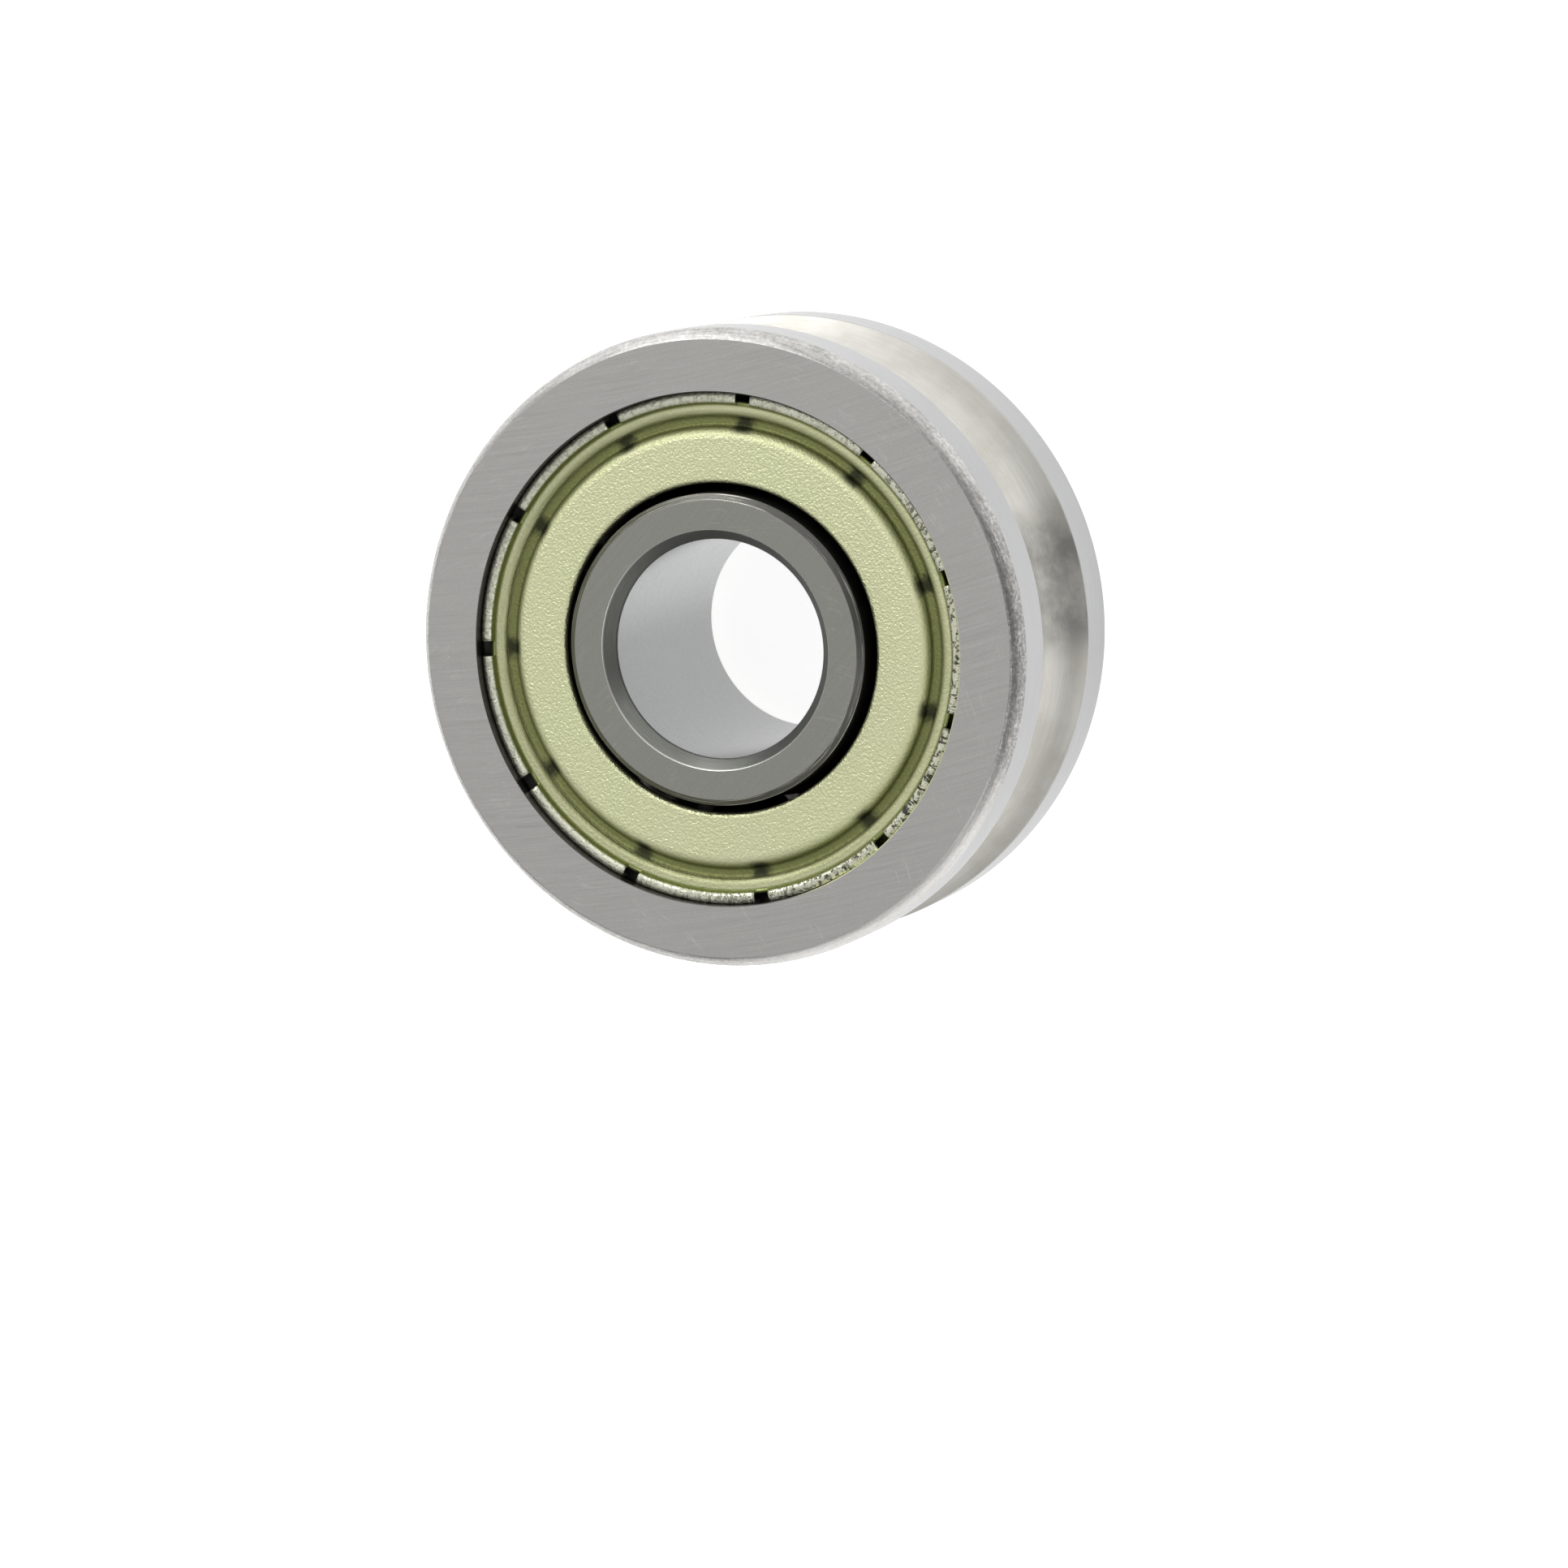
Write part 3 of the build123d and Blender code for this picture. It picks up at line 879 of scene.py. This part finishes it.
def lead_finish(colours, rings):
    """Lead-in of the bore: turned, darker than the faces beside it, with a painted highlight along its outer edge."""
    f = Finish("turned_lead_steel")
    steel, edge = colours.ground_steel, (rings.bore_radius + rings.bore_lead_radial) / MM
    lines = f.turned(f.round["Radius"], fineness=18.0, run=5.0)
    toned = f.blend(f.ranged(lines, 0.3, 0.7), rgba(steel, 0.62, 0.67, 0.6), rgba(steel, 0.8))
    # Painted highlight: a bright line along the outer edge
    highlight_edge = f.ranged(f.round["Radius"], edge - 0.08, edge - 0.02, smooth=True)
    return f.done(f.blend(highlight_edge, toned, rgba(steel, 1.7)), lines, 0.42, 0.32, lines, depth=0.005)


def scratch_highlight_corner_finish(colours):
    """Outer corner of the hub: dark, with thin bright lines: scratches painted as highlights."""
    f = Finish("rubbed_corner_steel")
    lines = f.turned(f.round["Radius"], fineness=22.0, run=1.6)
    # Scratch lines painted pale as highlights
    rubbed = f.shades(lines, 0.6, 0.64, colours.ground_steel, 0.3, 1.2)
    return f.done(rubbed, lines, 0.42, 0.3, lines, depth=0.02)


def bore_finish(colours):
    """Bore: honed to a soft shine, with painted light making it paler on one side."""
    f = Finish("honed_bore_steel")
    steel = colours.bore_steel
    lines = f.turned(f.round["Height"], fineness=14.0, run=8.0)
    # Painted light: paler on one side
    shaded = f.blend(f.side(LIT_BORE, 0.5, 0.95, smooth=True), rgba(steel, 0.79), rgba(steel, 1.12))
    honed = f.blend(f.ranged(lines, 0.3, 0.7, 0.12, 0.0), shaded, rgba(steel, 0.7))
    return f.done(honed, lines, 0.3, 0.24, lines, depth=0.001)


def notch_shadows(f, shields):
    """Painted shadow: 1 in the trough beside each notch and 0 elsewhere, with an uneven edge."""
    centre, reach, spread = shield_radii(shields).trough_in / MM + 0.2, 0.66, 0.8
    angle = f.math("ARCTAN2", f.round["Around Y"], f.round["Around X"])
    pitch = 2 * pi / shields.segments
    turns = f.math("DIVIDE", f.math("SUBTRACT", angle, shields.notch_phase), pitch)
    off_notch = f.math("ABSOLUTE", f.math("SUBTRACT", f.math("FRACT", f.math("ADD", turns, 0.5)), 0.5))
    along = f.math("MULTIPLY", off_notch, pitch * centre)
    across = f.math("ABSOLUTE", f.math("SUBTRACT", f.round["Radius"], centre))
    ragged = f.math("MULTIPLY", f.math("SUBTRACT", f.noise(2.2, detail=4.0, roughness=0.6), 0.5), 0.9)
    near_along = f.ranged(f.math("ADD", along, ragged), 0.15, spread, 1.0, 0.0, smooth=True)
    near_across = f.ranged(across, reach * 0.35, reach, 1.0, 0.0, smooth=True)
    return f.math("MULTIPLY", near_along, near_across)


def zinc_skin(f, colours, shields, low, high):
    """Colour, relief and grain of plated sheet with the skin of an orange, darkened by painted shade in the trough."""
    zinc, at = colours.zinc, shield_radii(shields)
    skin = f.noise(6.2, detail=2.0, roughness=0.6)
    plated = f.shades(skin, 0.35, 0.65, zinc, low, high)
    clouds = f.ranged(f.noise(0.25, detail=2.0), 0.35, 0.65, 0.0, 0.6)
    tinted = f.blend(clouds, plated, rgba(zinc, 1.02, 0.96, 1.04))
    # Painted shade: darker down in the trough and up the slope to the ledge
    down = f.ranged(f.round["Radius"], at.panel_out / MM - 0.25, at.trough_in / MM + 0.1, smooth=True)
    up = f.ranged(f.round["Radius"], at.trough_out / MM - 0.2, at.ledge_out / MM - 0.12, 1.0, 0.0, smooth=True)
    toned = f.blend(f.math("MULTIPLY", down, up), tinted, rgba(zinc, 0.33, 0.34, 0.22))
    relief = f.math("ADD", skin, f.math("MULTIPLY", f.noise(10.0, detail=2.0), 0.3))
    return toned, relief, skin


def panel_finish(colours, shields):
    """Shield panel: frosted zinc plating over sheet."""
    f = Finish("zinc_panel")
    plated, relief, skin = zinc_skin(f, colours, shields, 0.93, 1.05)
    return f.done(plated, skin, 0.48, 0.4, relief, depth=0.06)


def trough_finish(colours, shields):
    """Trough of a shield: smoother, darkened by painted shade, with a painted shadow beside each notch."""
    f = Finish("zinc_trough")
    plated, relief, skin = zinc_skin(f, colours, shields, 0.93, 1.05)
    # Painted shadow beside each notch
    notch_shadowed = f.blend(f.math("MULTIPLY", notch_shadows(f, shields), 0.92), plated, NOTCH_SHADOW)
    return f.done(notch_shadowed, skin, 0.62, 0.54, relief, depth=0.04)


def ledge_finish(colours, shields):
    """Ledge of a shield: paler, where the die rubbed it, with painted shade in the crease at its outer edge."""
    f = Finish("zinc_ledge")
    zinc, edge = colours.zinc, shield_radii(shields).ledge_out / MM
    lines = f.turned(f.round["Radius"], fineness=6.0, run=5.0)
    plated, relief, skin = zinc_skin(f, colours, shields, 0.8, 0.92)
    rubbed = f.blend(f.ranged(lines, 0.45, 0.7, 0.0, 0.5), plated, rgba(zinc, 0.95, 0.92, 1.0))
    # Painted shade in the crease
    crease_shade_mask = f.ranged(f.round["Radius"], edge - 0.22, edge - 0.08, smooth=True)
    return f.done(f.blend(crease_shade_mask, rubbed, rgba(zinc, *CREASE_SHADE)), lines, 0.6, 0.52, relief, depth=0.035)


def wall_finish(colours):
    """Wall under the crimped rim: the plating's deepest green, painted as the shade beneath the rim."""
    f = Finish("zinc_wall", metallic=0.6)
    patches = f.noise(1.5)
    # Painted shade: the wall under the rim is darkened
    deep_shade = rgba(colours.zinc, 0.45, 0.5, 0.28)
    patched = f.blend(f.ranged(patches, 0.35, 0.65), rgba(colours.zinc, *CREASE_SHADE), deep_shade)
    return f.done(patched, patches, 0.4, 0.3, patches, depth=0.01)


def rim_finish(colours, shields):
    """Crimped segments: dented and scuffed by the press tool, and more so on one side, with painted shade in the
    crease at the rim's inner edge.
    """
    f = Finish("zinc_crimped")
    zinc, edge = colours.zinc, shield_radii(shields).rim_in / MM
    worse = f.side(PRESSED_RIM, 0.1, 0.8, 0.35, 1.0)
    dents = f.ranged(f.turned(f.round["Radius"], fineness=1.2, run=55.0), 0.53, 0.6)
    dented = f.math("MULTIPLY", f.ranged(f.noise(0.22, detail=2.0), 0.42, 0.52), worse)
    scuffs = f.speckle(4.0, low=0.5, high=0.62)
    marks = f.math("MAXIMUM", f.math("MULTIPLY", dents, dented), f.math("MULTIPLY", scuffs, worse))
    scuffed = f.blend(marks, rgba(zinc, 1.02, 0.98, 1.3), SCUFF)
    # Painted shade in the crease at the rim's inner edge
    crease_shade_mask = f.ranged(f.round["Radius"], edge - 0.1, edge, 1.0, 0.0, smooth=True)
    crease_shaded = f.blend(crease_shade_mask, scuffed, rgba(zinc, *CREASE_SHADE))
    relief = f.math("SUBTRACT", f.math("MULTIPLY", f.noise(9.0), 0.3), marks)
    return f.done(crease_shaded, scuffs, 0.36, 0.46, relief, depth=0.035, span=(0.0, 1.0))


def ball_finish():
    """Ball steel, coloured nearly black as painted shade inside the bearing."""
    f = Finish("ball_steel")
    haze = f.noise(0.6)
    # Painted shade: the balls are kept nearly black
    return f.done(f.blend(f.ranged(haze, 0.3, 0.7), BALL_DARK, BALL_LIGHT), haze, 0.3, 0.4)


def grease_shade_finish():
    """Grease on the waist, wet and lumpy, kept nearly black as painted shade for the gap between shield and hub."""
    f = Finish("dark_grease", metallic=0.0)
    lumps = f.noise(1.6)
    # Painted shade: the band is kept nearly black
    lumpy = f.blend(f.ranged(lumps, 0.3, 0.7), GREASE_SHADE_DARK, GREASE_SHADE_LIGHT)
    return f.done(lumpy, lumps, 0.4, 0.28, lumps, depth=0.1)


def cage_finish(colours):
    """Moulded polymer of a cage, dull with grease."""
    f = Finish("cage_polymer", metallic=0.0)
    grain = f.noise(6.0)
    moulded = f.shades(grain, 0.3, 0.7, colours.polymer, 0.8, 1.4)
    return f.done(moulded, grain, 0.5, 0.36, grain, depth=0.01)


# Operators, one for each piece or group of like pieces, and one for the stage

def turned_mesh(name, outline, zone_of, steps, finishes, closed=True, sheet=0.0, cuts=None):
    """The mesh of a turned piece from its outline, with the finish of each of its zones."""
    base = outline_mesh(name, outline, zone_of, closed)
    values = {"Steps": steps, "Closing Rows": 1 if closed else 0, **(cuts or {})}
    values.update((f"Finish {number}", finish) for number, finish in enumerate(finishes))
    return modified(base, bpy.data.node_groups["Turned Piece"], values, sheet)


class ROLLER_OT_prepare(Operator):
    """Makes the node groups that the pieces and finishes share"""
    bl_idname = "roller.prepare"
    bl_label = "Prepare Node Groups"

    def execute(self, context):
        turned_tree()
        ball_tree()
        round_position_group()
        turned_lines_group()
        ground_lines_group()
        speckle_group()
        return {"FINISHED"}


class ROLLER_OT_outer_ring(Operator):
    """Builds the grooved outer ring"""
    bl_idname = "roller.outer_ring"
    bl_label = "Outer Ring"

    def execute(self, context):
        scene = context.scene
        rings, balls, colours = scene.roller_rings, scene.roller_balls, scene.roller_colours
        outline = softened(both_halves(outer_ring_outline(rings, balls)), True)
        mesh = turned_mesh("outer_ring_turned", outline, lambda r, h: outer_ring_zone(rings, r, h), rings.steps, [
            ground_face_finish("ground_face_steel", colours.ground_steel, FACE_GRINDING),
            corner_finish(colours, rings), land_finish(colours), groove_finish(colours),
            inside_finish(colours, rings)])
        piece("grooved_outer_ring", mesh, "roller", ["outer_ring"])
        return {"FINISHED"}


class ROLLER_OT_inner_ring(Operator):
    """Builds the inner ring with its bore, and the dark band of grease and painted shade on its waist"""
    bl_idname = "roller.inner_ring"
    bl_label = "Inner Ring"

    def execute(self, context):
        scene = context.scene
        rings, balls, colours = scene.roller_rings, scene.roller_balls, scene.roller_colours
        outline = softened(both_halves(inner_ring_outline(rings, balls)), True)
        hub_steel = rgba(colours.ground_steel, 0.65, 0.66, 0.62)
        mesh = turned_mesh("inner_ring_turned", outline, lambda r, h: inner_ring_zone(rings, r, h), rings.steps, [
            ground_face_finish("hub_face_steel", hub_steel, HUB_GRINDING, contrast=0.5),
            lead_finish(colours, rings), bore_finish(colours), inside_finish(colours, rings),
            scratch_highlight_corner_finish(colours)])
        piece("hub_inner_ring", mesh, "hub", ["inner_ring"])
        # A dark band on the waist, grease and painted shade, keeps the gap between shield and hub dark
        band = softened(both_halves(grease_shade_outline(rings)), True)
        grease = turned_mesh("grease_turned", band, lambda r, h: 0, rings.steps // 2, [grease_shade_finish()])
        piece("hub_grease_band", grease, "hub", [])
        return {"FINISHED"}


class ROLLER_OT_shields(Operator):
    """Presses the two shields, with their crimped rims"""
    bl_idname = "roller.shields"
    bl_label = "Shields"

    def execute(self, context):
        scene = context.scene
        rings, shields, colours = scene.roller_rings, scene.roller_shields, scene.roller_colours
        finishes = [
            panel_finish(colours, shields), trough_finish(colours, shields), ledge_finish(colours, shields),
            wall_finish(colours), rim_finish(colours, shields),
        ]
        steps = shields.segments * shields.steps_per_segment
        cuts = {
            "Start Angle": shields.notch_phase - pi * shields.notch_steps / steps, "Cut Zone": CUT_ZONE,
            "Cut Pitch": shields.steps_per_segment, "Cut Steps": shields.notch_steps,
        }
        for row, side in (("upper", 1), ("lower", -1)):
            line = [(radius, side * height) for radius, height in softened(shield_outline(rings, shields), False)]
            mesh = turned_mesh(
                f"{row}_shield_pressed", line, lambda r, h: shield_zone(rings, shields, r, abs(h)), steps,
                finishes, closed=False, sheet=shields.sheet, cuts=cuts)
            piece(f"{row}_zinc_shield", mesh, "roller", [f"{row}_shield"])
        return {"FINISHED"}


class ROLLER_OT_balls(Operator):
    """Builds the balls of both rows, each on its own body"""
    bl_idname = "roller.balls"
    bl_label = "Balls"

    def execute(self, context):
        balls = context.scene.roller_balls
        finish = ball_finish()
        tree = bpy.data.node_groups["Ball of a Row"]
        for row, side in (("upper", 1), ("lower", -1)):
            for number in range(balls.balls):
                mesh = modified(bpy.data.meshes.new("ball"), tree, {
                    "Balls": balls.balls, "Ball": number, "Ball Radius": balls.ball_radius,
                    "Pitch Radius": balls.pitch_radius, "Height": MIDDLE + side * balls.row_height,
                    "Start Angle": 0.0 if side > 0 else pi / balls.balls, "Finish": finish})
                node = f"{row}_ball_{number + 1:02d}"
                piece(f"{row}_polished_ball_{number + 1:02d}", mesh, node, [node])
        return {"FINISHED"}


class ROLLER_OT_cages(Operator):
    """Gives the two cages their moulded finish"""
    bl_idname = "roller.cages"
    bl_label = "Cages"

    def execute(self, context):
        finish = cage_finish(context.scene.roller_colours)
        for name in ("upper_cage", "lower_cage"):
            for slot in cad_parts[name].material_slots:
                slot.material = finish
        return {"FINISHED"}


class ROLLER_OT_studio(Operator):
    """Sets up the pale floor, the soft lights and the camera"""
    bl_idname = "roller.studio"
    bl_label = "Studio"

    def execute(self, context):
        studio = context.scene.roller_studio
        lay_floor(studio)
        light_world()
        for name, place, size in LIGHTS:
            hang_light(name, place, size, getattr(studio, f"{name}_watts"))
        set_camera(studio)
        return {"FINISHED"}


def seen_as_white(t):
    """1 for the rays that should see the white of the background."""
    path = t.add("ShaderNodeLightPath").outputs
    seen = t.math("MAXIMUM", path["Is Camera Ray"], path["Is Glossy Ray"])
    return t.math("MAXIMUM", seen, path["Is Transmission Ray"])


def lay_floor(studio):
    """A pale matt floor under the roller, which shows as white."""
    mesh = bpy.data.meshes.new("floor")
    half, low = studio.floor_size / 2, CAD_BOX[0][2]
    corners = [(-half, -half, low), (half, -half, low), (half, half, low), (-half, half, low)]
    mesh.from_pydata(corners, [], [(0, 1, 2, 3)])
    material = bpy.data.materials.new("pale_floor")
    material.use_nodes = True
    t = Tree(material.node_tree)
    shader = material.node_tree.nodes["Principled BSDF"]
    place = t.add("ShaderNodeTexCoord").outputs["Object"]
    grain = t.add("ShaderNodeTexNoise", {"Vector": place, "Scale": 400.0, "Detail": 2.0}).outputs[0]
    tone = t.add("ShaderNodeMapRange", {"Value": grain, "To Min": 0.86, "To Max": 0.88}).outputs[0]
    t.put(shader.inputs["Base Color"], t.add("ShaderNodeCombineColor", {0: tone, 1: tone, 2: tone}).outputs[0])
    shader.inputs["Roughness"].default_value = 0.9
    shader.inputs["Specular IOR Level"].default_value = 0.1
    shader.inputs["Emission Color"].default_value = (1, 1, 1, 1)
    t.put(shader.inputs["Emission Strength"], t.math("MULTIPLY", seen_as_white(t), FLOOR_GLOW))
    mesh.materials.append(material)
    floor = bpy.data.objects.new("floor", mesh)
    bpy.context.scene.collection.objects.link(floor)


def light_world():
    """A white room, dimmer to one side and with a dark patch, so that round edges get their shading."""
    world = bpy.data.worlds.new("room")
    bpy.context.scene.world = world
    world.use_nodes = True
    t = Tree(world.node_tree)
    background = world.node_tree.nodes["Background"]
    direction = t.add("ShaderNodeTexCoord").outputs["Generated"]
    across = t.add("ShaderNodeSeparateXYZ", {0: direction}).outputs["X"]
    side = t.add("ShaderNodeMapRange", {
        "Value": across, "From Min": -1.0, "From Max": 1.0, "To Min": DIM_SIDE_LIGHT, "To Max": 1.0}).outputs[0]
    toward_dark = t.add("ShaderNodeVectorMath", {0: direction, 1: DARK_PATCH}, operation="DOT_PRODUCT")
    dark = t.add("ShaderNodeMapRange", {
        "Value": toward_dark.outputs["Value"], "From Min": DARK_PATCH_EDGE, "From Max": DARK_PATCH_CORE,
        "To Min": 1.0, "To Max": DARK_PATCH_LIGHT}, interpolation_type="SMOOTHSTEP").outputs[0]
    light = t.math("MULTIPLY", side, dark)
    t.put(background.inputs["Color"], t.add("ShaderNodeCombineColor", {0: light, 1: light, 2: light}).outputs[0])
    t.put(background.inputs["Strength"], t.add("ShaderNodeMapRange", {
        "Value": seen_as_white(t), "To Min": 0.6, "To Max": 1.0}).outputs[0])


def hang_light(name, place, size, watts):
    """A soft round light that faces the roller."""
    lamp = bpy.data.lights.new(name, "AREA")
    lamp.shape = "DISK"
    lamp.size = size
    lamp.energy = watts
    obj = bpy.data.objects.new(name, lamp)
    obj.location = place
    direction = obj.location.copy()
    direction.z -= MIDDLE
    obj.rotation_euler = direction.to_track_quat("Z", "Y").to_euler()
    bpy.context.scene.collection.objects.link(obj)


def set_camera(studio):
    """The camera that was fitted to the photo."""
    camera = bpy.data.cameras.new("camera")
    camera.lens = studio.lens
    camera.sensor_width = 36.0
    camera.clip_start = 0.005
    obj = bpy.data.objects.new("camera", camera)
    obj.location = studio.camera_place
    obj.rotation_euler = studio.camera_turn
    bpy.context.scene.collection.objects.link(obj)
    bpy.context.scene.camera = obj
    bpy.context.scene.view_settings.view_transform = "Standard"


class ROLLER_PT_panel(Panel):
    """Lists the steps that dress the roller"""
    bl_idname = "ROLLER_PT_panel"
    bl_label = "Grooved Track Roller"
    bl_space_type = "VIEW_3D"
    bl_region_type = "UI"
    bl_category = "Roller"

    def draw(self, context):
        for name in GROUPS:
            self.layout.label(text=name.replace("_", " ").title())
            group = getattr(context.scene, name)
            for key in group.bl_rna.properties.keys():
                if key not in ("rna_type", "name"):
                    self.layout.prop(group, key, text=key.replace("_", " ").title())
        for operator in STEPS:
            self.layout.operator(operator.bl_idname)


GROUPS = {
    "roller_rings": RollerRings,
    "roller_shields": RollerShields,
    "roller_balls": RollerBalls,
    "roller_colours": RollerColours,
    "roller_studio": RollerStudio,
}
STEPS = (
    ROLLER_OT_prepare, ROLLER_OT_outer_ring, ROLLER_OT_inner_ring, ROLLER_OT_shields,
    ROLLER_OT_balls, ROLLER_OT_cages, ROLLER_OT_studio,
)


def register():
    for name, group in GROUPS.items():
        bpy.utils.register_class(group)
        setattr(bpy.types.Scene, name, PointerProperty(type=group))
    for operator in STEPS:
        bpy.utils.register_class(operator)
    bpy.utils.register_class(ROLLER_PT_panel)


def unregister():
    bpy.utils.unregister_class(ROLLER_PT_panel)
    for operator in reversed(STEPS):
        bpy.utils.unregister_class(operator)
    for name, group in reversed(GROUPS.items()):
        delattr(bpy.types.Scene, name)
        bpy.utils.unregister_class(group)


def main():
    register()
    bpy.ops.roller.prepare()
    bpy.ops.roller.outer_ring()
    bpy.ops.roller.inner_ring()
    bpy.ops.roller.shields()
    bpy.ops.roller.balls()
    bpy.ops.roller.cages()
    bpy.ops.roller.studio()


if __name__ == "__main__":
    main()
